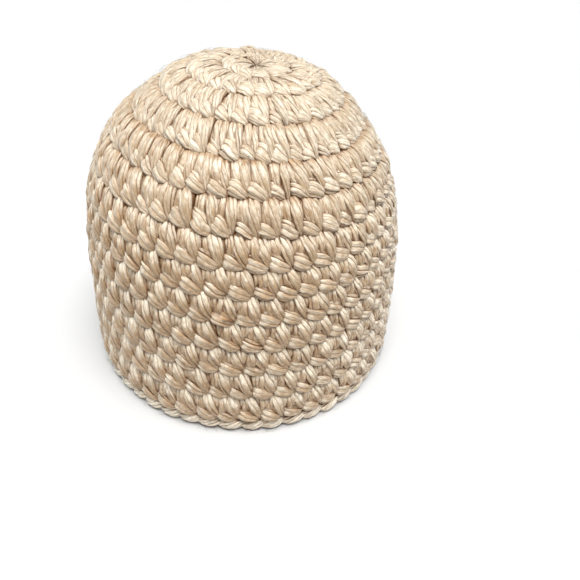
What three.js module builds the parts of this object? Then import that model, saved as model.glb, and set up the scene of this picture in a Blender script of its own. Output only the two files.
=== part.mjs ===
// A crocheted hat, worked in rounds from the middle of the crown down to a rope-like edge.
// Millimetres, +Z up. It stands on its edge, and the origin is the middle of the edge's underside.
// Each round of stitches is one ring of thick cloth with a rounded rib outside and inside.

import * as THREE from 'three';

// Driving dimensions of the cloth
const ROUND_COUNT = 13;       // rounds of stitches from the crown's middle to the edge
const FIRST_ROUND = 20;       // cloth taken up by the round at the crown's middle
const SECOND_ROUND = 18;      // cloth taken up by the round outside it
const ROUND_HEIGHT = 17.5;    // cloth taken up by every later round
const EDGE_HEIGHT = 7.5;      // height of the rope-like edge
const WALL = 9;               // thickness of the cloth over a rib
const OUTER_GROOVE = 2.5;     // depth of the groove between two rounds, outside
const INNER_GROOVE = 1.5;     // depth of the groove between two rounds, inside
const GAP = 0.4;              // clear space between two rounds
const FACETS = 48;            // facets round the hat, one for each stitch of a full round

// The crown's middle lies a little to the right, and the rounds lean down a little on that side
const CROWN_SHIFT = 4.8;      // sideways shift of the crown's middle
const SHIFT_REACH = 130;      // length of cloth over which that shift dies away
const CROWN_LEAN = -1.8;      // lean at the crown's middle, in degrees
const SIDE_LEAN = -2.4;       // lean half way down the cloth, in degrees

// How steeply the outside falls away, at distances along the cloth from the crown's middle
const SLOPES = [
  { along: 0, degrees: 0 },
  { along: 25, degrees: 6 },
  { along: 50, degrees: 38.5 },
  { along: 75, degrees: 44.5 },
  { along: 100, degrees: 63.5 },
  { along: 130, degrees: 79 },
  { along: 160, degrees: 85.5 },
  { along: 190, degrees: 87.5 },
  { along: 238, degrees: 90 },
];

// Where the points of a rib's section lie, as shares of the round's height
const OUTSIDE_SHARES = [0, 0.2, 0.5, 0.8, 1];
const INSIDE_SHARES = [1, 0.5, 0];

// The edge's section: shares of its height, and depths below the hat's outside
const EDGE_SECTION = [
  { share: 0, depth: 2.2 },
  { share: 0.3, depth: 0.2 },
  { share: 0.7, depth: 0.3 },
  { share: 1, depth: 2.2 },
  { share: 1, depth: 6.8 },
  { share: 0.7, depth: 8.7 },
  { share: 0.3, depth: 8.8 },
  { share: 0, depth: 6.8 },
];

const EDGE_START = FIRST_ROUND + SECOND_ROUND + (ROUND_COUNT - 2) * ROUND_HEIGHT;
const CLOTH_LENGTH = EDGE_START + EDGE_HEIGHT;

// Slope of the outside at a distance along the cloth, in radians below level
function slopeAt(along) {
  const last = SLOPES.length - 1;
  let row = 1;
  while (row < last && along > SLOPES[row].along) row += 1;
  const above = SLOPES[row - 1];
  const below = SLOPES[row];
  const share = (along - above.along) / (below.along - above.along);
  return THREE.MathUtils.degToRad(THREE.MathUtils.lerp(above.degrees, below.degrees, share));
}

// Radius and fall of the outside at a distance along the cloth, summed in short steps
function outsideAt(along) {
  const steps = Math.max(1, Math.ceil(along));
  const step = along / steps;
  let radius = 0;
  let fall = 0;
  for (let i = 0; i < steps; i += 1) {
    const slope = slopeAt((i + 0.5) * step);
    radius += Math.cos(slope) * step;
    fall += Math.sin(slope) * step;
  }
  return { radius, fall };
}

const HAT_HEIGHT = outsideAt(CLOTH_LENGTH).fall;

// Sideways shift of the cloth, which dies away smoothly down the side
function shiftAt(along) {
  return CROWN_SHIFT * THREE.MathUtils.smoothstep(1 - along / SHIFT_REACH, 0, 1);
}

// Lean of a round, in radians, which is nothing at the edge
function leanAt(along) {
  const share = Math.min(1, along / EDGE_START);
  const degrees = CROWN_LEAN * (1 - share) + 4 * SIDE_LEAN * share * (1 - share);
  return THREE.MathUtils.degToRad(degrees);
}

// A point of the cloth: so far along it, so deep below its outside, and at an angle round the hat
function clothPoint(along, depth, angle) {
  const { radius, fall } = outsideAt(along);
  const slope = slopeAt(along);
  const out = radius - depth * Math.sin(slope);
  const x = out * Math.cos(angle);
  const y = out * Math.sin(angle);
  const z = HAT_HEIGHT - fall - depth * Math.cos(slope);
  return new THREE.Vector3(x + shiftAt(along), y, z + x * Math.tan(leanAt(along)));
}

// One ring of cloth from a closed section of { along, depth } points, listed down the outside and
// up the inside. A section that starts and ends on the hat's middle line makes a closed disc.
function ringGeometry(section) {
  const positions = [];
  const rows = section.map(({ along, depth }) => {
    const start = positions.length / 3;
    const count = along === 0 ? 1 : FACETS;
    for (let i = 0; i < count; i += 1) {
      positions.push(...clothPoint(along, depth, (2 * Math.PI * i) / FACETS).toArray());
    }
    return { start, count };
  });
  const vertex = (row, i) => row.start + (i % row.count);
  const indices = [];
  rows.forEach((row, r) => {
    const next = rows[(r + 1) % rows.length];
    for (let i = 0; i < FACETS; i += 1) {
      if (next.count > 1) indices.push(vertex(row, i), vertex(next, i), vertex(next, i + 1));
      if (row.count > 1) indices.push(vertex(row, i), vertex(next, i + 1), vertex(row, i + 1));
    }
  });
  const geometry = new THREE.BufferGeometry();
  geometry.setAttribute('position', new THREE.Float32BufferAttribute(positions, 3));
  geometry.setIndex(indices);
  geometry.computeVertexNormals();
  return geometry;
}

// How far a rib's surface lies below its top, from nothing at its middle to the groove's depth
function ribDrop(share, groove) {
  return groove * Math.abs(2 * share - 1) ** 3;
}

// The section of one round of stitches between two distances along the cloth
function roundSection(from, to) {
  const start = from === 0 ? 0 : from + GAP / 2;
  const end = to - GAP / 2;
  const along = (share) => THREE.MathUtils.lerp(start, end, share);
  const outside = OUTSIDE_SHARES.map((share) => (
    { along: along(share), depth: ribDrop(share, OUTER_GROOVE) }
  ));
  const inside = INSIDE_SHARES.map((share) => (
    { along: along(share), depth: WALL - ribDrop(share, INNER_GROOVE) }
  ));
  return [...outside, ...inside];
}

// The section of the edge, whose underside is flat
function edgeSection() {
  const start = EDGE_START + GAP / 2;
  return EDGE_SECTION.map(({ share, depth }) => (
    { along: THREE.MathUtils.lerp(start, CLOTH_LENGTH, share), depth }
  ));
}

// A named piece in its own yarn material
function piece(name, section, colour) {
  const material = new THREE.MeshStandardMaterial({ color: colour, roughness: 0.8, metalness: 0 });
  const mesh = new THREE.Mesh(ringGeometry(section), material);
  mesh.name = name;
  return mesh;
}

// Height of cloth that a round takes up, counted from 1 at the crown's middle
function roundHeight(number) {
  if (number === 1) return FIRST_ROUND;
  if (number === 2) return SECOND_ROUND;
  return ROUND_HEIGHT;
}

const hat = new THREE.Group();
hat.name = 'crochet_hat';

let along = 0;
for (let number = 1; number <= ROUND_COUNT; number += 1) {
  const end = along + roundHeight(number);
  const name = `round_${String(number).padStart(2, '0')}`;
  hat.add(piece(name, roundSection(along, end), 0xdcc8a5));
  along = end;
}
hat.add(piece('edge_chain', edgeSection(), 0xe2d0b0));

export default hat;
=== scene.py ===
import math
from collections import namedtuple

import bpy
import numpy as np
from mathutils import Matrix, Vector


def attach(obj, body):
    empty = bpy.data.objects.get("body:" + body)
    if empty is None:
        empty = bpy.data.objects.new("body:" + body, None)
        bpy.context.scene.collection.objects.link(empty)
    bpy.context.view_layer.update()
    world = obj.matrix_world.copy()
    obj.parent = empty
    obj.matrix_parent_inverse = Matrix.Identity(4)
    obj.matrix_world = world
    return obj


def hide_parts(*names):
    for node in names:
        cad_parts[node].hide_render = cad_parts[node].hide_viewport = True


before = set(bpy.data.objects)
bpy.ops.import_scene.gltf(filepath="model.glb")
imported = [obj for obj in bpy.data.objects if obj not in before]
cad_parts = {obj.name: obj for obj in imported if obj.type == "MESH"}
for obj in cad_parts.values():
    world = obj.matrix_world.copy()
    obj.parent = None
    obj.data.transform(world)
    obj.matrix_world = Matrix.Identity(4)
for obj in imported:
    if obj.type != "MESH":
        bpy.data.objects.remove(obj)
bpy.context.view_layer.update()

bl_info = {
    "name": "Crochet Hat",
    "version": (1, 0, 0),
    "blender": (4, 5, 0),
    "location": "View3D > Sidebar > Crochet Hat",
    "description": "Crochets a chunky hat, stitch by stitch, around its packed rounds",
    "category": "Add Mesh",
}

# The scene is in metres, and many small measures here are in millimetres
MM = 0.001

# Width of a stitch at the hat's widest, for which the bundles are measured
FULL_WIDTH = 12.5 * MM

# Points around a bundle for each of its strands, the first of which lies in a furrow
POINTS = 3

# Furrows between strands: their depth, how it fades along a bundle, how it differs from strand to
# strand, and the greatest share of a bundle's half thickness that it takes
FURROW_DEPTH = 0.66 * MM
FURROW_FADE = (1.35, 0.60)
FURROW_RANGE = (0.4, 1.5)
FURROW_LIMIT = 0.42

# A bundle's cross-section: powers of the cosine and the sine, under 1 for squarer shoulders
SHOULDERS = (0.9, 0.85)

# How unevenly the strands lie: how far their points stray and sway, in steps from one point to the
# next, how early or late the twist starts, as a share of itself, how far a strand swells, and how
# many waves there are along it
STRAND_SPREAD = 0.25
STRAND_SWAY = 0.125
TWIST_SPREAD = 0.15
SWELL = 0.10 * MM
WAVES = 3

# How the painted light and shade run from a bundle's first end to its last: -1 at its tip, which
# takes the tips' value, and 1 on its body, which takes the body's, before it is cut to that range
PAINTED_LIGHT_COURSE = (-2.2, 3.8)

# The nearest that a bundle comes to the crown's middle, along the cloth
INNERMOST = 1.0 * MM

# How far the stitches and their knots stray. Shift, lean and across are shares of a stitch's width,
# down is a share of the round's height, depth is in millimetres, and wide and thick are shares of
# the bundle's own.
STRAY_SHIFT = 0.03
STRAY_LEAN = 0.06
STRAY_ACROSS = 0.018
STRAY_DOWN = 0.014
STRAY_DEPTH = 0.25
STRAY_WIDE = 0.08
STRAY_THICK = 0.06

# Loose fibres that stand off the yarn. Each rises in an arch from a root just below the hat's
# outside. Lengths and rises are in millimetres, bend and arch in radians. Taper is the share of its
# thickness that a fibre loses. Margins are cloth without roots, at the crown and the edge, and
# turning is the least radius at which a fibre goes round the hat.
LOOSE_FIBRES = 2500
FIBRE_RINGS = 4
FIBRE_RADIUS = 0.07 * MM
FIBRE_TAPER = 0.6
FIBRE_LENGTHS = (3.0, 9.0)
FIBRE_RISES = (0.3, 1.6)
FIBRE_ROOT = 0.6 * MM
FIBRE_CLEARANCE = 1.2 * MM
FIBRE_BEND = 0.9
FIBRE_ARCH = 2.4
FIBRE_MARGINS = (4.0 * MM, 3.0 * MM)
FIBRE_TURNING = 5.0 * MM

# The yarn's pattern: how many threads make a strand, how sharp the furrows between them are, the
# colours that multiply dark and pale fibres, how strongly, and numbers that set strands, threads
# and bundles apart
Twist = namedtuple("Twist", "ridge thread fibre strand_tone thread_tone gleam")
THREADS = 3.0
RIDGE_POWER = 0.6
DARK_FIBRE = (0.62, 0.56, 0.48, 1.0)
PALE_FIBRE = (1.3, 1.32, 1.35, 1.0)
FIBRE_CONTRAST = 0.55
STRAND_SEED = 7.31
THREAD_SEED = 3.77
BUNDLE_SEED = 53.0

# Seeds of the random draws
ROUND_SEED = 100
EDGE_SEED = 7
FIBRE_SEED = 11

# Half the width of the stage, in metres, and the number of sides of the wall round it
STAGE_REACH = 4.0
BACKDROP_SIDES = 48

# How far the camera's target lies under the top of the hat
TARGET_DROP = 90 * MM

# Tints of the light from all round, from above and from the sides, and of the floor's grain
SKY_TINT = (0.97, 0.98, 1.0, 1.0)
WARM_LIGHT = (1.0, 0.985, 0.96)
COOL_LIGHT = (0.62, 0.84, 1.0)
FLOOR_GRAIN = (0.7, 0.72, 0.74, 1.0)

# How steeply the hat's outside falls away, along the cloth from the crown's middle
Slope = namedtuple("Slope", "along degrees")
SLOPES = (
    Slope(along=0.000, degrees=0.0),
    Slope(along=0.025, degrees=6.0),
    Slope(along=0.050, degrees=38.5),
    Slope(along=0.075, degrees=44.5),
    Slope(along=0.100, degrees=63.5),
    Slope(along=0.130, degrees=79.0),
    Slope(along=0.160, degrees=85.5),
    Slope(along=0.190, degrees=87.5),
    Slope(along=0.238, degrees=90.0),
)

# The rounds: how many stitches each has, where its first stitch begins, in degrees to the right of
# the front, and how far the round's end has slid down the cloth, in millimetres
Round = namedtuple("Round", "stitches turn slid")
ROUNDS = (
    Round(stitches=12, turn=0.0, slid=0.0),
    Round(stitches=24, turn=3.0, slid=-0.5),
    Round(stitches=36, turn=-1.7, slid=-1.0),
    Round(stitches=48, turn=2.5, slid=0.0),
    Round(stitches=48, turn=7.9, slid=1.6),
    Round(stitches=48, turn=11.4, slid=2.7),
    Round(stitches=48, turn=15.3, slid=2.1),
    Round(stitches=48, turn=17.2, slid=0.0),
    Round(stitches=48, turn=19.6, slid=-1.5),
    Round(stitches=48, turn=21.2, slid=-1.6),
    Round(stitches=48, turn=22.1, slid=-1.8),
    Round(stitches=48, turn=25.0, slid=-0.2),
    Round(stitches=48, turn=28.2, slid=1.4),
)

# What changes from round to round: the numbers of some rounds, and the value at each. Bodies with a
# value above 0 take golden painted shade, and tips with one above 0 a pale painted highlight. Below
# 0 it is the other way round.
Change = namedtuple("Change", "rounds values")
SIDE_SHARE = Change(rounds=(4, 8), values=(0.0, 1.0))
FREE_SHIFT = Change(rounds=(4, 8), values=(1.8, 1.0))
FREE_LEAN = Change(rounds=(4, 8), values=(3.0, 1.0))
FREE_KNOTS = Change(rounds=(4, 8), values=(1.35, 1.0))
# Painted shade in the creases and on the bundles' flanks, and the furrows' depth, from round to round
CREASE_SHADE_BY_ROUND = Change(rounds=(3.5, 7.5), values=(0.7, 1.0))
FURROWING = Change(rounds=(3.5, 7.5), values=(0.6, 1.0))
BODY_PAINTED_LIGHT = Change(rounds=(2, 5, 8), values=(-0.4, 0.45, 1.0))
TIP_PAINTED_LIGHT = Change(rounds=(3, 5, 6, 8, 9, 13), values=(-0.2, -0.7, -0.5, 0.7, 1.4, 2.2))

# Share of the tips' painted light that bundles across the stitch have, and the tips' painted
# highlight at the edge
ACROSS_TIP_LIGHT = 0.3
EDGE_TIP_LIGHT = 1.0

# Knots are the places that a bundle of strands passes in its stitch, from its tip on. Across is a
# share of the stitch's width and down a share of the round's height. Depth lies below the hat's
# outside, and wide and thick are half the bundle's measures, all in millimetres at the widest
# rounds.
# A bundle runs down or across, its first furrow is on its inner or outer side, its twist is in
# turns, and golden is how strongly its body takes the round's golden painted shade, or below 0 its
# pale painted highlight. Its crown holds its knots on the crown, if they differ from those on the
# side.
Knots = namedtuple("Knots", "across down depth wide thick")
Bundle = namedtuple("Bundle", "runs sections strands seam twist golden knots crown", defaults=[None])

FRONT_LEG = Bundle(
    runs="down", sections=11, strands=7, seam="in", twist=0.38, golden=1.0,
    knots=Knots(
        across=(0.60, 0.60, 0.61, 0.64, 0.70, 0.76, 0.82, 0.87, 0.91, 0.93),
        down=(-0.26, -0.19, -0.10, 0.02, 0.17, 0.36, 0.52, 0.67, 0.79, 0.89),
        depth=(5.0, 4.2, 3.2, 2.2, 1.7, 2.0, 2.8, 3.4, 4.3, 6.0),
        wide=(3.0, 3.5, 3.8, 4.0, 4.1, 3.8, 3.3, 2.9, 2.4, 1.9),
        thick=(2.0, 2.5, 3.1, 3.3, 3.5, 3.5, 3.3, 3.0, 2.5, 1.8)),
    crown=Knots(
        across=(0.60, 0.60, 0.61, 0.63, 0.67, 0.73, 0.81, 0.89, 0.96, 1.00),
        down=(-0.12, -0.03, 0.07, 0.19, 0.33, 0.50, 0.68, 0.84, 0.94, 1.02),
        depth=(3.5, 2.6, 2.1, 1.9, 2.0, 2.0, 2.7, 3.7, 4.6, 6.2),
        wide=(4.0, 4.6, 4.8, 4.7, 4.5, 4.1, 3.4, 2.4, 1.6, 1.0),
        thick=(2.2, 2.8, 3.1, 3.4, 3.5, 3.6, 3.3, 2.7, 2.2, 1.5)))
SECOND_LEG = Bundle(
    runs="down", sections=9, strands=5, seam="in", twist=0.30, golden=0.9,
    knots=Knots(
        across=(0.32, 0.32, 0.33, 0.32, 0.30, 0.28, 0.30, 0.36),
        down=(-0.26, -0.19, -0.09, 0.03, 0.17, 0.31, 0.44, 0.56),
        depth=(5.0, 4.2, 3.2, 2.3, 2.1, 2.7, 3.6, 5.8),
        wide=(2.3, 2.7, 2.9, 3.0, 3.2, 3.5, 3.3, 2.5),
        thick=(1.9, 2.4, 2.9, 3.1, 3.2, 3.2, 2.9, 2.0)),
    crown=Knots(
        across=(0.16, 0.16, 0.16, 0.18, 0.23, 0.31, 0.43, 0.56),
        down=(-0.11, -0.02, 0.08, 0.20, 0.33, 0.47, 0.62, 0.78),
        depth=(3.7, 2.7, 2.2, 2.2, 2.2, 2.5, 3.6, 6.0),
        wide=(3.2, 3.7, 3.9, 3.9, 3.8, 3.5, 2.9, 1.9),
        thick=(2.0, 2.6, 2.9, 3.1, 3.2, 3.1, 2.7, 2.0)))
STUB = Bundle(
    runs="down", sections=7, strands=4, seam="in", twist=0.20, golden=0.7,
    knots=Knots(
        across=(0.06, 0.06, 0.05, 0.03, 0.01, 0.00, 0.00),
        down=(-0.26, -0.19, -0.09, 0.03, 0.18, 0.34, 0.46),
        depth=(5.0, 4.2, 3.2, 2.3, 2.4, 3.4, 5.8),
        wide=(3.1, 3.4, 3.3, 2.9, 2.3, 1.7, 1.1),
        thick=(1.9, 2.4, 2.8, 2.9, 2.8, 2.4, 1.6)),
    crown=Knots(
        across=(-0.06, -0.06, -0.05, -0.03, 0.00, 0.03, 0.06),
        down=(-0.10, 0.00, 0.10, 0.20, 0.32, 0.44, 0.58),
        depth=(4.8, 3.6, 3.0, 2.8, 2.8, 3.2, 5.6),
        wide=(2.6, 2.8, 2.9, 2.9, 2.9, 2.7, 2.0),
        thick=(1.8, 2.2, 2.5, 2.6, 2.7, 2.6, 1.9)))
PUFF = Bundle(
    runs="across", sections=9, strands=8, seam="in", twist=-0.10, golden=0.7,
    knots=Knots(
        across=(0.16, 0.03, 0.06, 0.22, 0.42, 0.62, 0.79, 0.93),
        down=(0.47, 0.49, 0.52, 0.57, 0.63, 0.69, 0.75, 0.80),
        depth=(6.4, 4.4, 3.0, 2.3, 2.1, 2.3, 3.7, 6.1),
        wide=(3.2, 4.5, 5.0, 5.2, 4.8, 4.0, 2.7, 1.4),
        thick=(1.8, 2.8, 3.4, 3.6, 3.6, 3.4, 2.6, 1.7)),
    crown=Knots(
        across=(0.18, 0.03, 0.04, 0.18, 0.37, 0.58, 0.80, 0.97),
        down=(0.55, 0.57, 0.59, 0.65, 0.73, 0.81, 0.89, 1.00),
        depth=(6.6, 4.6, 3.0, 2.9, 2.9, 3.3, 4.7, 6.6),
        wide=(2.6, 3.7, 4.8, 4.9, 4.5, 3.7, 2.4, 0.9),
        thick=(1.8, 2.8, 3.2, 3.5, 3.5, 3.1, 2.3, 1.4)))
TOP_LOOP_FRONT = Bundle(
    runs="across", sections=5, strands=2, seam="in", twist=0.0, golden=0.3,
    knots=Knots(
        across=(-0.12, 0.20, 0.60, 1.05),
        down=(1.04, 1.00, 1.00, 0.98),
        depth=(6.0, 5.0, 4.8, 6.0),
        wide=(1.7, 2.2, 2.4, 1.8),
        thick=(1.7, 1.9, 2.0, 1.7)))
TOP_LOOP_BACK = Bundle(
    runs="across", sections=5, strands=2, seam="out", twist=0.0, golden=0.3,
    knots=Knots(
        across=(0.00, 0.30, 0.75, 1.15),
        down=(0.98, 1.01, 1.01, 1.04),
        depth=(6.2, 7.2, 7.3, 6.2),
        wide=(1.6, 2.2, 2.3, 1.6),
        thick=(1.5, 1.7, 1.7, 1.5)))
INNER_BAR = Bundle(
    runs="across", sections=5, strands=3, seam="out", twist=0.0, golden=0.3,
    knots=Knots(
        across=(-0.10, 0.20, 0.65, 1.10),
        down=(0.74, 0.80, 0.80, 0.72),
        depth=(6.0, 7.3, 7.4, 6.0),
        wide=(1.6, 2.4, 2.5, 1.6),
        thick=(1.5, 1.8, 1.8, 1.5)))
INNER_POST = Bundle(
    runs="down", sections=5, strands=4, seam="out", twist=0.0, golden=0.3,
    knots=Knots(
        across=(0.04, 0.06, 0.10, 0.14),
        down=(0.00, 0.16, 0.42, 0.74),
        depth=(5.6, 6.2, 6.3, 6.0),
        wide=(5.0, 6.2, 6.2, 5.0),
        thick=(1.8, 2.4, 2.5, 2.0)))
STITCH = (
    FRONT_LEG, SECOND_LEG, STUB, PUFF, TOP_LOOP_FRONT, TOP_LOOP_BACK, INNER_BAR, INNER_POST,
)

# The rope-like edge has one outer and one inner link for each stitch of the last round. Their
# down is a share of the edge's height. Their golden of -1 paints them pale all along, a painted
# highlight.
EDGE_LINK_OUT = Bundle(
    runs="across", sections=14, strands=8, seam="in", twist=0.50, golden=-1.0,
    knots=Knots(
        across=(-0.14, 0.04, 0.26, 0.52, 0.80, 1.02, 1.18),
        down=(0.46, 0.42, 0.37, 0.33, 0.29, 0.25, 0.22),
        depth=(6.0, 4.2, 3.0, 2.7, 3.0, 4.1, 6.0),
        wide=(1.8, 3.1, 3.9, 4.1, 3.9, 3.1, 1.8),
        thick=(1.4, 2.4, 3.0, 3.2, 3.0, 2.4, 1.4)))
EDGE_LINK_IN = Bundle(
    runs="across", sections=9, strands=5, seam="out", twist=0.3, golden=-1.0,
    knots=Knots(
        across=(-0.20, 0.05, 0.45, 0.90, 1.25),
        down=(0.20, 0.28, 0.38, 0.46, 0.56),
        depth=(5.2, 6.0, 6.4, 6.2, 5.2),
        wide=(1.6, 2.3, 2.5, 2.3, 1.6),
        thick=(1.5, 2.1, 2.3, 2.1, 1.5)))


# Where a row of stitches lies: its start and height along the cloth, the angle at which its first
# stitch begins, and the angle from one stitch to the next
Row = namedtuple("Row", "start height turn pitch")


class HatSizes(bpy.types.PropertyGroup):
    """Measures of the cloth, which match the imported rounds."""

    first_round: bpy.props.FloatProperty(
        name="First Round", description="Cloth taken up by the round at the crown's middle",
        default=0.020, unit="LENGTH", precision=4)
    second_round: bpy.props.FloatProperty(
        name="Second Round", description="Cloth taken up by the round outside the first",
        default=0.018, unit="LENGTH", precision=4)
    round_height: bpy.props.FloatProperty(
        name="Round Height", description="Cloth taken up by every later round",
        default=0.0175, unit="LENGTH", precision=4)
    edge_height: bpy.props.FloatProperty(
        name="Edge Height", description="Height of the rope-like edge",
        default=0.0075, unit="LENGTH", precision=4)
    crown_eye: bpy.props.FloatProperty(
        name="Crown Eye", description="Radius of the ring that the first stitches start from",
        default=0.0025, unit="LENGTH", precision=4)
    crown_shift: bpy.props.FloatProperty(
        name="Crown Shift", description="Sideways shift of the crown's middle",
        default=0.0048, unit="LENGTH", precision=4)
    shift_reach: bpy.props.FloatProperty(
        name="Shift Reach", description="Length of cloth over which the shift dies away",
        default=0.130, unit="LENGTH", precision=3)
    crown_lean: bpy.props.FloatProperty(
        name="Crown Lean", description="Lean of the rounds at the crown's middle",
        default=math.radians(-1.8), subtype="ANGLE")
    side_lean: bpy.props.FloatProperty(
        name="Side Lean", description="Lean of the rounds half way down the cloth",
        default=math.radians(-2.4), subtype="ANGLE")
    unevenness: bpy.props.FloatProperty(
        name="Unevenness", description="How much the stitches differ from each other",
        default=1.0, min=0.0, max=3.0)


class YarnLook(bpy.types.PropertyGroup):
    """Colours and finish of the yarn, and the colours of the highlights and shade painted on it."""

    cream: bpy.props.FloatVectorProperty(
        name="Cream", description="Main colour of the yarn",
        default=(0.59, 0.455, 0.312), subtype="COLOR")
    # Pale strands at random, and the pale painted highlight on the tips
    pale: bpy.props.FloatVectorProperty(
        name="Pale", description="Colour of its palest strands",
        default=(0.88, 0.78, 0.635), subtype="COLOR")
    # Golden patches at random, and the golden painted shade on bodies, flanks and furrows
    golden: bpy.props.FloatVectorProperty(
        name="Golden", description="Colour of its darker, golden stretches",
        default=(0.43, 0.265, 0.13), subtype="COLOR")
    # Deep is painted shade, down in the gaps, the furrows and where yarn crowds round
    deep: bpy.props.FloatVectorProperty(
        name="Deep", description="Colour down in the gaps between bundles",
        default=(0.20, 0.085, 0.026), subtype="COLOR")
    strand_height: bpy.props.FloatProperty(
        name="Strand Height", description="How far the strands stand out of the bundle",
        default=0.0005, unit="LENGTH", precision=5)
    # Reach of the ambient occlusion that paints shade where neighbours crowd round
    crowding: bpy.props.FloatProperty(
        name="Crowding", description="How near its neighbours darken a strand",
        default=0.0032, unit="LENGTH", precision=5)
    roughness: bpy.props.FloatProperty(
        name="Roughness", description="Roughness of the fibres", default=0.42, min=0.0, max=1.0)


class StageLook(bpy.types.PropertyGroup):
    """Floor, lights and camera."""

    floor: bpy.props.FloatVectorProperty(
        name="Floor", description="Colour of the floor",
        default=(0.62, 0.625, 0.63), subtype="COLOR")
    backdrop: bpy.props.FloatVectorProperty(
        name="Backdrop", description="Colour of the wall far behind the hat, on all sides",
        default=(0.90, 0.91, 0.92), subtype="COLOR")
    sky: bpy.props.FloatProperty(
        name="Sky", description="Strength of the even light from all round", default=0.18)
    overhead: bpy.props.FloatProperty(
        name="Overhead Light", description="Strength of the soft light from above", default=4.45)
    flanks: bpy.props.FloatProperty(
        name="Flank Light", description="Strength of the cool, soft light from each side",
        default=0.95)
    camera_distance: bpy.props.FloatProperty(
        name="Camera Distance", description="From the camera to the middle of the hat",
        default=0.361, unit="LENGTH")
    camera_elevation: bpy.props.FloatProperty(
        name="Camera Elevation", description="How high the camera stands over the hat's middle",
        default=math.radians(31.03), subtype="ANGLE")
    camera_roll: bpy.props.FloatProperty(
        name="Camera Roll", description="Turn of the camera about its own line of sight",
        default=math.radians(3.8), subtype="ANGLE")
    aim_right: bpy.props.FloatProperty(
        name="Aim Right", description="How far right of the middle the camera points",
        default=0.077)
    aim_up: bpy.props.FloatProperty(
        name="Aim Up", description="How far above the middle the camera points", default=-0.139)
    focal_length: bpy.props.FloatProperty(
        name="Focal Length", description="Focal length in millimetres on a 36 mm sensor",
        default=35.55)


def sizes():
    return bpy.context.scene.hat_sizes


def add_object(name, data):
    """A new object in the scene, with this mesh, light or camera."""
    made = bpy.data.objects.new(name, data)
    bpy.context.scene.collection.objects.link(made)
    return made


def at_round(change, number):
    return np.interp(number, change.rounds, change.values)


def edge_start():
    """Where the edge begins, along the cloth from the crown's middle."""
    size = sizes()
    later = len(ROUNDS) - 2
    return size.first_round + size.second_round + later * size.round_height


def round_span(number):
    """Start and height of a round along the cloth. The rounds are numbered from 1."""
    size = sizes()
    slid_before = ROUNDS[number - 2].slid * MM if number > 1 else 0.0
    if number == 1:
        start, end = size.crown_eye, size.first_round
    elif number == 2:
        start, end = size.first_round, size.first_round + size.second_round
    else:
        start = size.first_round + size.second_round + (number - 3) * size.round_height
        end = start + size.round_height
    start += slid_before
    return start, end + ROUNDS[number - 1].slid * MM - start


class Cloth:
    """The hat's outer surface, which turns places on the cloth into points in space."""

    STEP = 0.0005

    def __init__(self):
        length = edge_start() + sizes().edge_height
        self.along = np.arange(0.0, length + 2 * self.STEP, self.STEP)
        rows = np.array(SLOPES)
        self.slope = np.radians(np.interp(self.along, rows[:, 0], rows[:, 1]))
        middle = 0.5 * (self.slope[1:] + self.slope[:-1])
        self.radius = np.concatenate(([0.0], np.cumsum(np.cos(middle) * self.STEP)))
        self.fall = np.concatenate(([0.0], np.cumsum(np.sin(middle) * self.STEP)))
        self.height = np.interp(length, self.along, self.fall)

    def radius_at(self, along):
        return np.interp(along, self.along, self.radius)

    def point(self, along, depth, turn):
        """Point in space so far along the cloth, so deep below its outside, at an angle."""
        size = sizes()
        slope = np.interp(along, self.along, self.slope)
        out = self.radius_at(along) - depth * np.sin(slope)
        up = self.height - np.interp(along, self.along, self.fall) - depth * np.cos(slope)
        side = out * np.sin(turn)
        fade = np.clip(1.0 - along / size.shift_reach, 0.0, 1.0)
        shift = size.crown_shift * fade * fade * (3.0 - 2.0 * fade)
        share = np.clip(along / edge_start(), 0.0, 1.0)
        lean = size.crown_lean * (1.0 - share) + 4.0 * size.side_lean * share * (1.0 - share)
        return np.stack((side + shift, -out * np.cos(turn), up + side * np.tan(lean)), axis=-1)

    def directions(self, along, turn):
        """Unit vectors across the stitches, down the cloth and out of it."""
        slope = np.interp(along, self.along, self.slope)
        zero = np.zeros_like(turn + slope)
        outward = np.stack((np.sin(turn) + zero, -np.cos(turn) + zero, zero), axis=-1)
        across = np.stack((np.cos(turn) + zero, np.sin(turn) + zero, zero), axis=-1)
        upward = np.array((0.0, 0.0, 1.0))
        sine = (np.sin(slope) + zero)[..., None]
        cosine = (np.cos(slope) + zero)[..., None]
        return across, outward * cosine - upward * sine, outward * sine + upward * cosine


def smooth_path(knots, count):
    """Points of a smooth curve through the knots, which are the second last axis."""
    ends = knots[..., :1, :] * 2 - knots[..., 1:2, :], knots[..., -1:, :] * 2 - knots[..., -2:-1, :]
    padded = np.concatenate((ends[0], knots, ends[1]), axis=-2)
    place = np.linspace(0.0, knots.shape[-2] - 1.0, count)
    cell = np.minimum(place.astype(int), knots.shape[-2] - 2)
    t = (place - cell)[:, None]
    a, b, c, d = (padded[..., cell + i, :] for i in range(4))
    straight = 0.5 * (c - a)
    return b + t * (straight + t * (a - 2.5 * b + 2 * c - 0.5 * d + t * 0.5 * (3 * b - 3 * c + d - a)))


def unit(vectors):
    """The vectors, each made one long."""
    return vectors / np.linalg.norm(vectors, axis=-1, keepdims=True)


def power_round(value, exponent):
    """A power of the value's size, with the value's sign."""
    return np.sign(value) * np.abs(value) ** exponent


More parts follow.
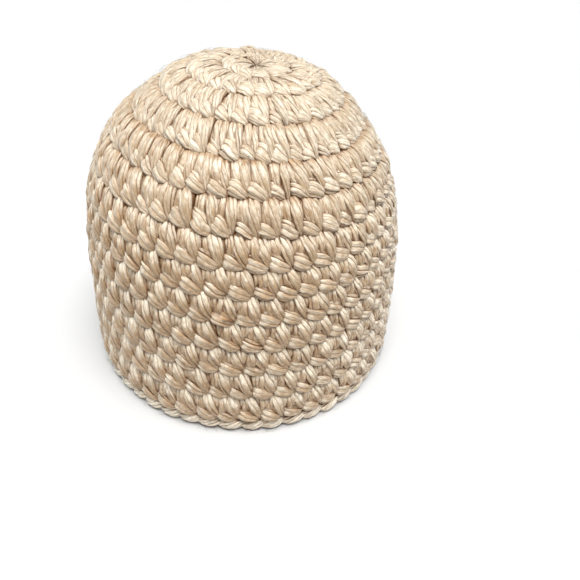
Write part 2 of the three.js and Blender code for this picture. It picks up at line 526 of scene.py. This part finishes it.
class Skein:
    """Collects bundles of yarn and turns them into one mesh.

    Its third argument scales the painted shade in its creases and on its bundles' flanks, and
    furrowing how deep its furrows are.
    """

    def __init__(self, cloth, random, shade_scale=1.0, furrowing=1.0):
        self.cloth = cloth
        self.shade_scale = shade_scale
        self.furrow_depth = furrowing * FURROW_DEPTH
        self.random = random
        self.points = []
        self.faces = []
        self.totals = []
        self.maps = []
        self.tones = []
        self.depths = []
        self.painted_lights = []
        self.rims = []
        self.furrows = []
        self.count = 0

    def wobble(self, tubes, sections, sides, amount):
        """Slow random waves along each strand of each tube."""
        waves = self.random.normal(0.0, amount, (tubes, WAVES + 1, sides))
        place = np.linspace(0.0, WAVES - 0.001, sections)
        cell = place.astype(int)
        share = (place - cell)[None, :, None]
        share = share * share * (3.0 - 2.0 * share)
        return waves[:, cell] * (1.0 - share) + waves[:, cell + 1] * share

    def strand_angles(self, bundle, tubes, seam):
        """Where the points of each ring lie around each tube's middle."""
        sections, sides = bundle.sections, POINTS * bundle.strands
        step = 2 * math.pi / sides
        sway = sizes().unevenness
        even = np.linspace(0.0, 2 * math.pi, sides, endpoint=False) + seam * math.pi / 2
        uneven = self.random.normal(0.0, STRAND_SPREAD * sway * step, (tubes, 1, sides))
        angle = even + uneven + self.wobble(tubes, sections, sides, STRAND_SWAY * sway * step)
        turned = np.linspace(-0.5, 0.5, sections) + self.random.normal(0.0, TWIST_SPREAD)
        return angle - 2 * math.pi * bundle.twist * turned[:, None]

    def furrow_depths(self, bundle, narrowing):
        """How far the points of each ring lie inside the bundle's smooth outside."""
        tubes, sections = narrowing.shape
        sides = POINTS * bundle.strands
        deepness = self.random.uniform(*FURROW_RANGE, (tubes, 1, sides))
        fade = np.linspace(*FURROW_FADE, sections)[:, None]
        depths = np.where(np.arange(sides) % POINTS == 0, self.furrow_depth, 0.0) * deepness * fade
        depths = depths * np.minimum(narrowing, 1.0)[..., None]
        return depths + self.wobble(tubes, sections, sides, SWELL * sizes().unevenness)

    def lay(self, bundle, knots, tone, row, golden, tip_light):
        """Lays one bundle in each stitch of a row, through that stitch's knots."""
        cloth = self.cloth
        path = smooth_path(knots, bundle.sections)
        depth, wide, thick = (path[..., place] * MM for place in (2, 3, 4))
        turn = row.turn + (np.arange(len(knots))[:, None] + path[..., 0]) * row.pitch
        along = np.clip(row.start + path[..., 1] * row.height, INNERMOST, cloth.along[-1])
        centre = cloth.point(along, depth, turn)
        across, down, out = cloth.directions(along, turn)
        heading = unit(np.gradient(centre, axis=1))
        guide = across if bundle.runs == "down" else down
        side = unit(guide - heading * np.sum(guide * heading, axis=-1, keepdims=True))
        lift = np.cross(heading, side)
        narrowing = np.ones_like(along)
        if bundle.runs == "down":
            narrowing = row.pitch * cloth.radius_at(along) / FULL_WIDTH
            wide = wide * narrowing
            thick = thick * np.sqrt(np.minimum(narrowing, 1.0))
        faces_out = np.sign(np.mean(np.sum(lift * out, axis=-1)))
        seam = -faces_out if bundle.seam == "in" else faces_out
        angle = self.strand_angles(bundle, len(knots), seam)
        furrow = self.furrow_depths(bundle, narrowing) / np.minimum(wide, thick)[..., None]
        inset = 1.0 - np.minimum(furrow, FURROW_LIMIT)
        spread = (wide[..., None] * inset * power_round(np.cos(angle), SHOULDERS[0]))[..., None]
        rise = (thick[..., None] * inset * power_round(np.sin(angle), SHOULDERS[1]))[..., None]
        offset = spread * side[:, :, None, :] + rise * lift[:, :, None, :]
        below = depth[..., None] - np.sum(offset * out[:, :, None, :], axis=-1)
        moved = np.linalg.norm(np.diff(centre, axis=1, prepend=centre[:, :1]), axis=-1)
        self.add_tubes(centre[:, :, None, :] + offset, below, np.cumsum(moved, axis=1) / MM, tone)
        # Painted light along the bundle: its tip takes the tips' value and its body the body's, golden
        # painted shade above 0 and a pale painted highlight below
        course = np.clip(np.linspace(*PAINTED_LIGHT_COURSE, bundle.sections), -1.0, 1.0)
        tint = np.where(course > 0.0, golden, tip_light) * course
        self.painted_lights.append(np.tile(np.repeat(tint, POINTS * bundle.strands), len(knots)))
        # How far round the bundle each point lies, for painted shade on its flanks
        rim = 1.0 + (below - depth[..., None]) / thick[..., None]
        self.rims.append(self.shade_scale * rim.reshape(-1))

    def add_tubes(self, ring, below, length, tone):
        """Adds closed tubes. The first of a ring's points for each strand lies in a furrow."""
        tubes, rings, sides = ring.shape[:3]
        base = self.count + np.arange(tubes)[:, None, None] * rings * sides
        j = np.arange(rings - 1)[None, :, None] * sides
        a = np.arange(sides)[None, None, :]
        b = (a + 1) % sides
        quads = np.stack((base + j + a, base + j + b, base + j + sides + b, base + j + sides + a), -1)
        ends = np.arange(sides)[None, :]
        head = base[:, 0] + ends[:, ::-1]
        tail = base[:, 0] + (rings - 1) * sides + ends
        share = np.arange(sides + 1) / POINTS
        ones = np.ones((tubes, rings - 1, sides))
        along = (length + 61.0 * tone[:, None])[:, :, None]
        low, high = along[:, :-1] * ones, along[:, 1:] * ones
        left, right = share[:-1] * ones, share[1:] * ones
        corners = np.stack((
            np.stack((left, low), -1), np.stack((right, low), -1),
            np.stack((right, high), -1), np.stack((left, high), -1)), -2)
        caps = np.ones((tubes, sides))
        head_map = np.stack((share[:-1][::-1] * caps, along[:, 0] * caps), -1)
        tail_map = np.stack((share[:-1] * caps, along[:, -1] * caps), -1)
        self.points.append(ring.reshape(-1, 3))
        # Depth under the outside, scaled for the round, for painted shade in the creases
        self.depths.append(self.shade_scale * below.reshape(-1))
        self.tones.append(np.repeat(tone, rings * sides))
        self.furrows.append(np.tile(np.arange(sides) % POINTS == 0, tubes * rings))
        self.faces += [quads.reshape(-1), head.reshape(-1), tail.reshape(-1)]
        self.totals += [np.full(tubes * (rings - 1) * sides, 4), np.full(2 * tubes, sides)]
        self.maps += [corners.reshape(-1, 2), head_map.reshape(-1, 2), tail_map.reshape(-1, 2)]
        self.count += tubes * rings * sides

    def weave(self, name):
        """The finished mesh object, with a crease along each furrow."""
        points = np.concatenate(self.points)
        corners = np.concatenate(self.faces)
        totals = np.concatenate(self.totals)
        mesh = bpy.data.meshes.new(name)
        mesh.vertices.add(len(points))
        mesh.vertices.foreach_set("co", points.astype(np.float32).ravel())
        mesh.loops.add(len(corners))
        mesh.loops.foreach_set("vertex_index", corners.astype(np.int32))
        mesh.polygons.add(len(totals))
        starts = np.concatenate(([0], np.cumsum(totals)[:-1]))
        mesh.polygons.foreach_set("loop_start", starts.astype(np.int32))
        mesh.polygons.foreach_set("loop_total", totals.astype(np.int32))
        mesh.update(calc_edges=True)
        mesh.polygons.foreach_set("use_smooth", np.ones(len(totals), bool))
        pairs = np.empty(2 * len(mesh.edges), np.int32)
        mesh.edges.foreach_get("vertices", pairs)
        sharp = np.concatenate(self.furrows)[pairs.reshape(-1, 2)].all(axis=1)
        mesh.attributes.new("sharp_edge", "BOOLEAN", "EDGE").data.foreach_set("value", sharp)
        layer = mesh.uv_layers.new(name="Strands")
        layer.data.foreach_set("uv", np.concatenate(self.maps).astype(np.float32).ravel())
        # A random tone per bundle, and depth, painted light and rim, which paint highlights and shade
        # into the colour
        details = {"tone": self.tones, "below": self.depths, "gold": self.painted_lights, "rim": self.rims}
        for label, values in details.items():
            attribute = mesh.attributes.new(label, "FLOAT", "POINT")
            attribute.data.foreach_set("value", np.concatenate(values).astype(np.float32))
        mesh.validate()
        return add_object(name, mesh)


def uneven_knots(bundle, number, shifts, leans, random):
    """The bundle's knots in each stitch of a round, each a little different."""
    count = len(shifts)
    shape = np.transpose(bundle.knots)
    if bundle.crown is not None:
        side_share = at_round(SIDE_SHARE, number)
        shape = side_share * shape + (1.0 - side_share) * np.transpose(bundle.crown)
    knots = np.repeat(shape[None], count, axis=0)
    amount = sizes().unevenness * at_round(FREE_KNOTS, number)
    knots[..., 0] += shifts[:, None] + leans[:, None] * (knots[..., 1] - 0.5)
    knots[..., 0] += random.normal(0.0, STRAY_ACROSS * amount, (count, knots.shape[1]))
    knots[..., 1] += random.normal(0.0, STRAY_DOWN * amount, (count, knots.shape[1]))
    knots[..., 2] += random.normal(0.0, STRAY_DEPTH * amount, (count, 1))
    knots[..., 3] *= 1.0 + random.normal(0.0, STRAY_WIDE * amount, (count, 1))
    knots[..., 4] *= 1.0 + random.normal(0.0, STRAY_THICK * amount, (count, 1))
    return knots


def crochet_round(cloth, number):
    """All the stitches of one round, as one mesh. The rounds are numbered from 1."""
    stitches, turn, _ = ROUNDS[number - 1]
    random = np.random.default_rng(ROUND_SEED + number - 1)
    start, height = round_span(number)
    row = Row(start, height, math.radians(turn), 2 * math.pi / stitches)
    shifts = random.normal(0.0, STRAY_SHIFT * sizes().unevenness, stitches)
    leans = random.normal(0.0, STRAY_LEAN * sizes().unevenness, stitches)
    shifts *= at_round(FREE_SHIFT, number)
    leans *= at_round(FREE_LEAN, number)
    # The round's painted light: golden painted shade on bodies, pale painted highlight on tips
    golden, tip_light = at_round(BODY_PAINTED_LIGHT, number), at_round(TIP_PAINTED_LIGHT, number)
    skein = Skein(cloth, random, at_round(CREASE_SHADE_BY_ROUND, number), at_round(FURROWING, number))
    for bundle in STITCH:
        knots = uneven_knots(bundle, number, shifts, leans, random)
        tone = random.random(stitches)
        tip_light_share = ACROSS_TIP_LIGHT if bundle.runs == "across" else 1.0
        skein.lay(bundle, knots, tone, row, bundle.golden * golden, tip_light * tip_light_share)
    return skein.weave(f"stitches_{number:02d}")


def crochet_edge(cloth):
    """The rope-like edge, as one mesh."""
    stitches, turn, _ = ROUNDS[-1]
    random = np.random.default_rng(EDGE_SEED)
    row = Row(edge_start(), sizes().edge_height, math.radians(turn), 2 * math.pi / stitches)
    skein = Skein(cloth, random)
    for bundle in (EDGE_LINK_OUT, EDGE_LINK_IN):
        shifts = random.normal(0.0, STRAY_SHIFT * sizes().unevenness, stitches)
        knots = uneven_knots(bundle, len(ROUNDS), shifts, 0.0 * shifts, random)
        tone = random.random(stitches)
        skein.lay(bundle, knots, tone, row, bundle.golden, EDGE_TIP_LIGHT)
    return skein.weave("edge_rope")


def tease_fibres(cloth):
    """Loose fibres that stand off the yarn all over the hat, as one mesh."""
    random = np.random.default_rng(FIBRE_SEED)
    count, rings = LOOSE_FIBRES, FIBRE_RINGS
    skein = Skein(cloth, random)
    roots, turns, tones, _ = random.random((4, count))
    along = np.interp(roots, np.cumsum(cloth.radius) / np.sum(cloth.radius), cloth.along)
    along = np.clip(along, FIBRE_MARGINS[0], cloth.along[-1] - FIBRE_MARGINS[1])
    heading = random.uniform(0.0, 2 * math.pi, count)
    length = random.uniform(*FIBRE_LENGTHS, count) * MM
    rise = random.uniform(*FIBRE_RISES, count) * MM
    bend = random.normal(0.0, FIBRE_BEND, count)
    share = np.linspace(0.0, 1.0, rings)[None, :]
    course = heading[:, None] + bend[:, None] * share
    step = length[:, None] / (rings - 1)
    moved_across = np.cumsum(np.cos(course), axis=1) * step
    moved_down = np.cumsum(np.sin(course), axis=1) * step
    radius = np.maximum(cloth.radius_at(along), FIBRE_TURNING)[:, None]
    place = np.clip(along[:, None] + moved_down, 0.0, cloth.along[-1])
    angle = 2 * math.pi * turns[:, None] + moved_across / radius
    depth = FIBRE_ROOT - (rise[:, None] + FIBRE_CLEARANCE) * np.sin(share * FIBRE_ARCH)
    centre = cloth.point(place, depth, angle)
    centre[..., 2] = np.maximum(centre[..., 2], 2 * FIBRE_RADIUS)
    across, down, out = cloth.directions(place, angle)
    level = across * np.sin(course)[..., None] - down * np.cos(course)[..., None]
    corners = np.arange(3)[:, None] * 2 * math.pi / 3
    ring = level[:, :, None, :] * np.cos(corners) + out[:, :, None, :] * np.sin(corners)
    thickness = FIBRE_RADIUS * (1.0 - FIBRE_TAPER * share)[..., None, None]
    zero = np.zeros((count, rings, 3))
    gone = np.cumsum(step + zero[..., 0], axis=1) / MM
    skein.add_tubes(centre[:, :, None, :] + thickness * ring, zero, gone, tones)
    # The loose fibres get no painted highlight and no painted shade
    skein.painted_lights.append(zero.reshape(-1))
    skein.rims.append(zero.reshape(-1))
    return skein.weave("loose_fibres")


class Value:
    """One output of a node. Sums, products and powers of it add Math nodes."""

    def __init__(self, board, socket):
        self.board = board
        self.socket = socket

    def math(self, operation, *terms):
        return self.board.node("ShaderNodeMath", {"operation": operation}, dict(enumerate(terms)))

    def __add__(self, other):
        return self.math("ADD", self, other)

    __radd__ = __add__

    def __sub__(self, other):
        return self.math("SUBTRACT", self, other)

    def __rsub__(self, other):
        return self.math("SUBTRACT", other, self)

    def __mul__(self, other):
        return self.math("MULTIPLY", self, other)

    __rmul__ = __mul__

    def __truediv__(self, other):
        return self.math("DIVIDE", self, other)

    def __pow__(self, other):
        return self.math("POWER", self, other)

    def floor(self):
        return self.math("FLOOR", self)

    def sine(self):
        return self.math("SINE", self)

    def size(self):
        return self.math("ABSOLUTE", self)

    def between(self, low, high):
        """Share of the way from low to high, kept between 0 and 1."""
        sockets = {"Value": self, "From Min": low, "From Max": high}
        settings = {"interpolation_type": "SMOOTHSTEP"}
        return self.board.node("ShaderNodeMapRange", settings, sockets)


class Board:
    """The nodes of one material."""

    def __init__(self, name):
        self.material = bpy.data.materials.new(name)
        self.material.use_nodes = True
        self.tree = self.material.node_tree
        self.tree.nodes.clear()

    def node(self, kind, settings=None, sockets=None, output=0):
        """Adds a node: its settings first, then the values or links of its sockets."""
        made = self.tree.nodes.new(kind)
        for name, value in (settings or {}).items():
            setattr(made, name, value)
        for name, value in (sockets or {}).items():
            if isinstance(value, Value):
                self.tree.links.new(value.socket, made.inputs[name])
            else:
                made.inputs[name].default_value = value
        return Value(self, made.outputs[output])

    def attribute(self, name):
        return self.node("ShaderNodeAttribute", {"attribute_name": name}, output="Fac")

    def vector(self, x, y, z):
        return self.node("ShaderNodeCombineXYZ", sockets={"X": x, "Y": y, "Z": z})

    def split(self, vector):
        parts = self.node("ShaderNodeSeparateXYZ", sockets={"Vector": vector})
        outputs = parts.socket.node.outputs
        return [Value(self, outputs[axis]) for axis in ("X", "Y", "Z")]

    def noise(self, vector, scale, detail=2.0):
        sockets = {"Vector": vector, "Scale": scale, "Detail": detail}
        return self.node("ShaderNodeTexNoise", sockets=sockets)

    def mix(self, share, first, second, blend="MIX"):
        """A colour between two, or the first one multiplied by the second."""
        settings = {"data_type": "RGBA", "blend_type": blend}
        sockets = {0: share, 6: first, 7: second}
        return self.node("ShaderNodeMix", settings, sockets, output=2)

    def finish(self, shader):
        """The finished material, with the shader on its surface."""
        output = self.tree.nodes.new("ShaderNodeOutputMaterial")
        self.tree.links.new(shader.socket, output.inputs["Surface"])
        return self.material


def colour(values):
    """A socket's colour, opaque."""
    return (*values, 1.0)


def twist_yarn(board):
    """The yarn's ridges, threads and fibres, and how light its strands and threads are."""
    around, along, _ = board.split(board.node("ShaderNodeUVMap", {"uv_map": "Strands"}))
    tone = board.attribute("tone")
    strand_seed = around.floor() * STRAND_SEED + tone * BUNDLE_SEED
    drift = board.noise(board.vector(strand_seed, along * 0.16, 0.0), 1.0)
    threads = around * THREADS + (drift - 0.5) * 1.2
    thread_seed = threads.floor() * THREAD_SEED + tone * BUNDLE_SEED
    return Twist(
        ridge=(around * math.pi).sine().size() ** RIDGE_POWER,
        thread=(threads * math.pi).sine().size() ** RIDGE_POWER,
        fibre=board.noise(board.vector(around * 6.0, along * 0.5, tone * 20.0), 1.0, 3.0),
        strand_tone=board.noise(board.vector(strand_seed, 4.0, along * 0.10), 1.0),
        thread_tone=board.noise(board.vector(thread_seed, 9.0, along * 0.16), 1.0),
        gleam=board.noise(board.vector(thread_seed, 21.0, along * 0.28), 1.0))


def tint_yarn(board, look, twist, gold, tip_highlight):
    """The yarn's colour from strand to strand, a pale painted highlight at the ends of its bundles,
    golden painted shade on their bodies, and painted shade in the furrows between strands.
    """
    cream, pale, golden = (colour(tint) for tint in (look.cream, look.pale, look.golden))
    # Pale and cream strands and threads at random, a little darker under the golden painted shade
    light = (twist.thread_tone * 0.6 + twist.strand_tone * 0.4 - gold * 0.05).between(0.32, 0.66)
    base = board.mix(light, cream, pale)
    # Pale painted highlight where the painted light is below 0
    base = board.mix(tip_highlight * 0.9, base, pale)
    # Golden patches at random along the strands, more and stronger under the golden painted shade
    patch = (twist.gleam - 0.5 + gold * 0.3).between(-0.05, 0.35)
    base = board.mix(patch * (gold.between(-0.2, 1.0) * 0.6 + 0.2), base, golden)
    # Golden painted shade on the bundles' bodies
    base = board.mix(gold.between(0.0, 1.0) * 0.45, base, golden)
    # Painted shade in the furrows between strands and threads, golden and then deep brown
    base = board.mix((1.0 - twist.ridge.between(0.0, 0.60)) * 0.6, base, golden)
    base = board.mix((1.0 - twist.ridge.between(0.0, 0.35)) * 0.4, base, colour(look.deep))
    return board.mix((1.0 - twist.thread.between(0.0, 0.5)) * 0.25, base, golden)


def paint_crease_shade(board, look, base, crease, tip_highlight):
    """Paints shade into the colour on each bundle's flanks, down in the gaps and where other yarn
    crowds round, less at the highlighted ends of the bundles.
    """
    rim = board.attribute("rim")
    # Golden painted shade on each bundle's flanks
    base = board.mix(rim.between(0.15, 0.75) * 0.7, base, colour(look.golden))
    # Ambient occlusion finds where other yarn crowds round, to paint shade there
    openness = board.node("ShaderNodeAmbientOcclusion", {"samples": 8},
                          {"Distance": look.crowding}, output="AO")
    occlusion_shade = (1.0 - openness.between(0.34, 0.92)) * (1.0 - tip_highlight * 0.7)
    # Deep brown painted shade down in the creases and where yarn crowds round, less on the pale
    # painted highlights
    base = board.mix(crease * 0.96 * (1.0 - tip_highlight * 0.5), base, colour(look.deep))
    return board.mix(occlusion_shade * 0.8, base, colour(look.deep))


def yarn_material():
    """Soft, slightly glossy yarn of many strands, cream with golden stretches that are partly random
    and partly painted shade, with painted highlights at the ends of its bundles and painted shade in
    its creases.
    """
    look = bpy.context.scene.yarn_look
    board = Board("yarn_soft")
    twist = twist_yarn(board)
    gold = board.attribute("gold")
    # Pale painted highlight where the painted light is below 0
    tip_highlight = (0.0 - gold).between(0.0, 1.0)
    below = board.attribute("below") / MM
    # Painted shade in the creases, from how far round its bundle a point lies and how deep; it also
    # roughens them and takes away their coat
    crease = (board.attribute("rim") * 1.2 + below * 0.55).between(0.6, 1.9)
    base = tint_yarn(board, look, twist, gold, tip_highlight)
    base = paint_crease_shade(board, look, base, crease, tip_highlight)
    fibres = board.mix(twist.fibre.between(0.3, 0.7), DARK_FIBRE, PALE_FIBRE)
    shade = board.mix(FIBRE_CONTRAST, base, fibres, blend="MULTIPLY")
    height = twist.ridge * 0.35 + twist.thread * 0.25 + twist.fibre * 0.4 + twist.thread_tone * 0.5
    bump = board.node("ShaderNodeBump", sockets={
        "Strength": 1.0, "Distance": look.strand_height, "Height": height})
    shader = board.node("ShaderNodeBsdfPrincipled", sockets={
        "Base Color": shade, "Roughness": crease * 0.4 + look.roughness, "Normal": bump,
        "Specular IOR Level": 0.25, "Sheen Weight": 0.05, "Sheen Roughness": 0.4,
        "Coat Weight": (1.0 - crease) * 0.5, "Coat Roughness": 0.3})
    return board.finish(shader)


def backdrop_material():
    look = bpy.context.scene.stage_look
    board = Board("pale_backdrop")
    shader = board.node("ShaderNodeEmission", sockets={"Color": colour(look.backdrop)})
    return board.finish(shader)


def floor_material():
    look = bpy.context.scene.stage_look
    board = Board("pale_floor")
    place = board.node("ShaderNodeTexCoord", output="Object")
    grain = board.noise(place, 6.0, 3.0)
    tint = board.mix(grain.between(0.3, 0.7) * 0.06, colour(look.floor), FLOOR_GRAIN)
    shader = board.node("ShaderNodeBsdfPrincipled", sockets={"Base Color": tint, "Roughness": 0.8})
    return board.finish(shader)


def dress_in_yarn(piece):
    """Gives a finished piece its yarn and its body."""
    piece.data.materials.append(bpy.data.materials.get("yarn_soft") or yarn_material())
    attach(piece, "root")


def place_yarn_piece(piece, node):
    """Puts a finished piece in the place of its node."""
    dress_in_yarn(piece)
    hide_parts(node)


class HAT_OT_rounds(bpy.types.Operator):
    """Crochet the rounds of stitches, from the crown's middle to the edge"""

    bl_idname = "hat.rounds"
    bl_label = "Crochet Rounds"

    def execute(self, context):
        cloth = Cloth()
        for number in range(1, len(ROUNDS) + 1):
            place_yarn_piece(crochet_round(cloth, number), f"round_{number:02d}")
        return {"FINISHED"}


class HAT_OT_edge(bpy.types.Operator):
    """Crochet the rope-like edge"""

    bl_idname = "hat.edge"
    bl_label = "Crochet Edge"

    def execute(self, context):
        place_yarn_piece(crochet_edge(Cloth()), "edge_chain")
        return {"FINISHED"}


class HAT_OT_fibres(bpy.types.Operator):
    """Tease loose fibres out of the yarn"""

    bl_idname = "hat.fibres"
    bl_label = "Tease Fibres"

    def execute(self, context):
        dress_in_yarn(tease_fibres(Cloth()))
        return {"FINISHED"}


def add_sun(name, towards, strength, softness, tint):
    """A soft light that reaches everything alike. Towards points from the hat to the light."""
    data = bpy.data.lights.new(name, "SUN")
    data.energy = strength
    data.angle = math.radians(softness)
    data.color = tint
    light = add_object(name, data)
    light.rotation_euler = (-Vector(towards)).to_track_quat("-Z", "Y").to_euler()


def light_hat():
    """Even light from all round, soft light from above, and a little cool light on the flanks."""
    look = bpy.context.scene.stage_look
    world = bpy.data.worlds.new("soft_daylight")
    world.use_nodes = True
    background = world.node_tree.nodes["Background"]
    background.inputs["Color"].default_value = SKY_TINT
    background.inputs["Strength"].default_value = look.sky
    bpy.context.scene.world = world
    add_sun("overhead_light", (0.05, -0.22, 1.0), look.overhead, 40, WARM_LIGHT)
    add_sun("left_light", (-1.0, 0.2, 0.25), look.flanks, 60, COOL_LIGHT)
    add_sun("right_light", (1.0, 0.2, 0.25), look.flanks, 60, COOL_LIGHT)


def add_camera():
    """The camera at the photo's distance, angle and framing."""
    look = bpy.context.scene.stage_look
    middle = Vector((0.0, 0.0, Cloth().height - TARGET_DROP))
    back = Vector((0.0, -math.cos(look.camera_elevation), math.sin(look.camera_elevation)))
    right = Vector((1.0, 0.0, 0.0))
    sight = -back
    sight = (sight + look.aim_right * right + look.aim_up * right.cross(sight)).normalized()
    level = sight.cross(Vector((0.0, 0.0, 1.0))).normalized()
    upright = level.cross(sight)
    cosine, sine = math.cos(look.camera_roll), math.sin(look.camera_roll)
    image_right = cosine * level + sine * upright
    image_up = cosine * upright - sine * level
    data = bpy.data.cameras.new("camera")
    data.sensor_width = 36.0
    data.lens = look.focal_length
    data.clip_start = 0.01
    camera = add_object("camera", data)
    spot = middle + back * look.camera_distance
    turn = Matrix((image_right, image_up, -sight)).transposed()
    camera.matrix_world = Matrix.Translation(spot) @ turn.to_4x4()
    bpy.context.scene.camera = camera


def stage_object(name, corners, faces, material):
    mesh = bpy.data.meshes.new(name)
    mesh.from_pydata(corners, [], faces)
    mesh.materials.append(material)
    made = add_object(name, mesh)
    return made


def stand_on_floor():
    reach = STAGE_REACH
    corners = [(-reach, -reach, 0.0), (reach, -reach, 0.0), (reach, reach, 0.0), (-reach, reach, 0.0)]
    stage_object("floor", corners, [(0, 1, 2, 3)], floor_material())


def stand_before_backdrop():
    """A pale wall all round, far off, which is seen but sheds no light on the hat."""
    sides = BACKDROP_SIDES
    turns = [2 * math.pi * i / sides for i in range(sides)]
    ring = [(STAGE_REACH * math.cos(turn), STAGE_REACH * math.sin(turn)) for turn in turns]
    corners = [(x, y, height) for height in (0.0, STAGE_REACH) for x, y in ring]
    faces = [(i, (i + 1) % sides, sides + (i + 1) % sides, sides + i) for i in range(sides)]
    wall = stage_object("backdrop", corners, faces, backdrop_material())
    wall.visible_diffuse = False
    wall.visible_glossy = False
    wall.visible_shadow = False


class HAT_OT_stage(bpy.types.Operator):
    """Set the floor, the soft lights and the camera"""

    bl_idname = "hat.stage"
    bl_label = "Set Stage"

    def execute(self, context):
        stand_on_floor()
        stand_before_backdrop()
        light_hat()
        add_camera()
        context.scene.view_settings.view_transform = "Standard"
        return {"FINISHED"}


class HAT_PT_panel(bpy.types.Panel):
    """Sizes, colours and steps of the hat"""

    bl_idname = "HAT_PT_panel"
    bl_label = "Crochet Hat"
    bl_space_type = "VIEW_3D"
    bl_region_type = "UI"
    bl_category = "Crochet Hat"

    def draw(self, context):
        scene = context.scene
        for group in (scene.hat_sizes, scene.yarn_look, scene.stage_look):
            box = self.layout.box()
            for name in group.__annotations__:
                box.prop(group, name)
        for operator in (HAT_OT_rounds, HAT_OT_edge, HAT_OT_fibres, HAT_OT_stage):
            self.layout.operator(operator.bl_idname)


CLASSES = (
    HatSizes, YarnLook, StageLook,
    HAT_OT_rounds, HAT_OT_edge, HAT_OT_fibres, HAT_OT_stage, HAT_PT_panel,
)


def register():
    for cls in CLASSES:
        bpy.utils.register_class(cls)
    bpy.types.Scene.hat_sizes = bpy.props.PointerProperty(type=HatSizes)
    bpy.types.Scene.yarn_look = bpy.props.PointerProperty(type=YarnLook)
    bpy.types.Scene.stage_look = bpy.props.PointerProperty(type=StageLook)


def unregister():
    del bpy.types.Scene.stage_look
    del bpy.types.Scene.yarn_look
    del bpy.types.Scene.hat_sizes
    for cls in reversed(CLASSES):
        bpy.utils.unregister_class(cls)


def main():
    register()
    bpy.ops.hat.stage()
    bpy.ops.hat.rounds()
    bpy.ops.hat.edge()
    bpy.ops.hat.fibres()


if __name__ == "__main__":
    main()
